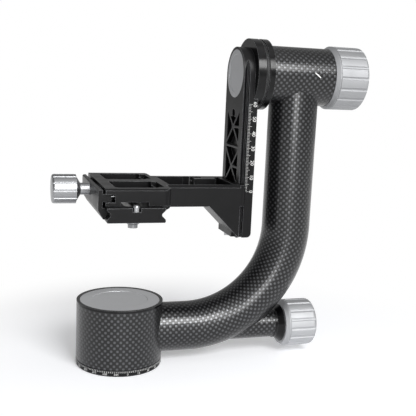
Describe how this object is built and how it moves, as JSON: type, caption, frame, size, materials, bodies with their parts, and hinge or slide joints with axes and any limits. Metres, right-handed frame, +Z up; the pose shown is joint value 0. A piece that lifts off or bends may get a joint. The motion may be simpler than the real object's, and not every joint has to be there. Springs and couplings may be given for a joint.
{
  "type": "gimbal tripod head",
  "caption": "Carbon-fibre gimbal head: panning base, curved side arm, tilting swing arm with a height scale, sliding cradle, dovetail clamp, quick-release plate and locking knobs.",
  "frame": {"origin": "centre of the base's underside, at the mouth of the tripod thread, on the pan axis", "axes": "+Z up along the pan axis; +X along the tilt axis towards the tilt knob; -Y is the side with the height scale"},
  "size_m": [0.2177, 0.095, 0.229],
  "materials": {
    "black_anodised": "black anodised, fine satin",
    "grey_anodised": "grey anodised, satin",
    "carbon_fibre": "woven carbon fibre under clear resin",
    "silver_anodised": "silver anodised, turned and milled",
    "bare_aluminium": "turned, bare",
    "stainless_steel": "turned stainless steel",
    "black_steel": "black oxide",
    "bearing_steel": "ground and polished",
    "brass": "turned",
    "nylon": "pale self-lubricating plastic",
    "rubber": "moulded, fine grip texture",
    "black_plastic": "moulded, satin"
  },
  "bodies": {
    "base": {"base_plate": "black_anodised", "tripod_socket": "stainless_steel", "base_screws": "black_steel", "pan_spindle": "bare_aluminium", "pan_bearing_inner_races": "bearing_steel", "pan_retainer": "stainless_steel", "pan_retainer_screw": "black_steel"},
    "pan_head": {"pan_shell": "carbon_fibre", "pan_housing": "bare_aluminium", "pan_top_ring": "black_anodised", "pan_cap": "grey_anodised", "pan_bearing_outer_races": "bearing_steel", "pan_bearing_balls": "bearing_steel", "arm_lower_insert": "bare_aluminium", "arm_root_screws": "black_steel", "curved_arm": "carbon_fibre", "arm_upper_insert": "bare_aluminium", "saddle_screws": "black_steel", "pan_lock_tube": "carbon_fibre", "pan_lock_collar": "black_anodised", "tilt_sleeve": "carbon_fibre", "tilt_housing": "bare_aluminium", "tilt_flange_ring": "black_anodised", "tilt_spacer_ring": "nylon", "tilt_bearing_outer_races": "bearing_steel", "tilt_bearing_balls": "bearing_steel", "tilt_lock_collet": "brass"},
    "swing": {"swing_arm": "black_anodised", "swing_arm_cap": "grey_anodised", "tilt_flange": "black_anodised", "tilt_flange_screws": "black_steel", "tilt_shaft": "stainless_steel", "tilt_bearing_inner_races": "bearing_steel"},
    "cradle": {"cradle_bracket": "black_anodised", "clamp_guide_pins": "stainless_steel", "cradle_stop_screw": "stainless_steel", "height_lock_stud": "stainless_steel"},
    "height_jaw": {"height_lock_jaw": "black_anodised"},
    "height_knob": {"height_lock_knob": "silver_anodised"},
    "jaw": {"clamp_jaw": "black_anodised"},
    "clamp_screw": {"clamp_spindle": "stainless_steel", "clamp_knob": "silver_anodised"},
    "plate": {"quick_plate": "black_anodised", "plate_strips": "rubber", "plate_stop_screws": "stainless_steel"},
    "camera_carrier": {"camera_screw_ring": "stainless_steel"},
    "camera_bolt": {"camera_screw": "stainless_steel"},
    "tilt_lock": {"tilt_knob": "silver_anodised", "tilt_knob_disc": "black_plastic"},
    "pan_lock_slide": {"pan_brake_shoe": "brass", "pan_lock_rod": "stainless_steel"},
    "pan_lock": {"pan_lock_knob": "silver_anodised", "pan_lock_knob_disc": "black_plastic"}
  },
  "joints": [
    {"name": "pan_turn", "type": "hinge", "parent": "base", "child": "pan_head", "pos_m": [0, 0, 0.0236], "axis": [0, 0, 1], "continuous": true},
    {"name": "tilt_swing", "type": "hinge", "parent": "pan_head", "child": "swing", "pos_m": [0.0914, 0, 0.2046], "axis": [1, 0, 0], "continuous": true},
    {"name": "cradle_height", "type": "slide", "parent": "swing", "child": "cradle", "axis": [0, 0, 1], "range_m": [0, 0.06]},
    {"name": "height_knob_turn", "type": "hinge", "parent": "height_jaw", "child": "height_knob", "pos_m": [0.0645, 0.03, 0.1206], "axis": [0, 1, 0], "range_deg": [0, 540]},
    {"name": "height_jaw_slide", "type": "slide", "parent": "cradle", "child": "height_jaw", "axis": [0, 1, 0], "range_m": [0, 0.0012]},
    {"name": "clamp_knob_turn", "type": "hinge", "parent": "jaw", "child": "clamp_screw", "pos_m": [-0.03, 0, 0.1235], "axis": [-1, 0, 0], "range_deg": [0, 1080]},
    {"name": "clamp_jaw_slide", "type": "slide", "parent": "cradle", "child": "jaw", "axis": [-1, 0, 0], "range_m": [0, 0.003]},
    {"name": "plate_slide", "type": "slide", "parent": "cradle", "child": "plate", "axis": [0, 1, 0], "range_m": [-0.02, 0.02]},
    {"name": "camera_screw_slide", "type": "slide", "parent": "plate", "child": "camera_carrier", "axis": [0, 1, 0], "range_m": [0, 0.07]},
    {"name": "camera_screw_turn", "type": "hinge", "parent": "camera_carrier", "child": "camera_bolt", "pos_m": [0.0006, -0.035, 0.108], "axis": [0, 0, 1], "continuous": true},
    {"name": "tilt_lock_turn", "type": "hinge", "parent": "pan_head", "child": "tilt_lock", "pos_m": [0.157, 0, 0.2046], "axis": [1, 0, 0], "range_deg": [0, 120]},
    {"name": "pan_lock_turn", "type": "hinge", "parent": "pan_head", "child": "pan_lock", "pos_m": [0.134, 0, 0.0216], "axis": [1, 0, 0], "range_deg": [0, 144]},
    {"name": "brake_slide", "type": "slide", "parent": "pan_head", "child": "pan_lock_slide", "axis": [-1, 0, 0], "range_m": [0, 0.0005]}
  ],
  "couplings": [
    {"joint": "height_knob_turn", "follows": "height_jaw_slide", "rad_per_m": 7854},
    {"joint": "clamp_knob_turn", "follows": "clamp_jaw_slide", "rad_per_m": 6283.2},
    {"joint": "pan_lock_turn", "follows": "brake_slide", "rad_per_m": 5026.5}
  ]
}
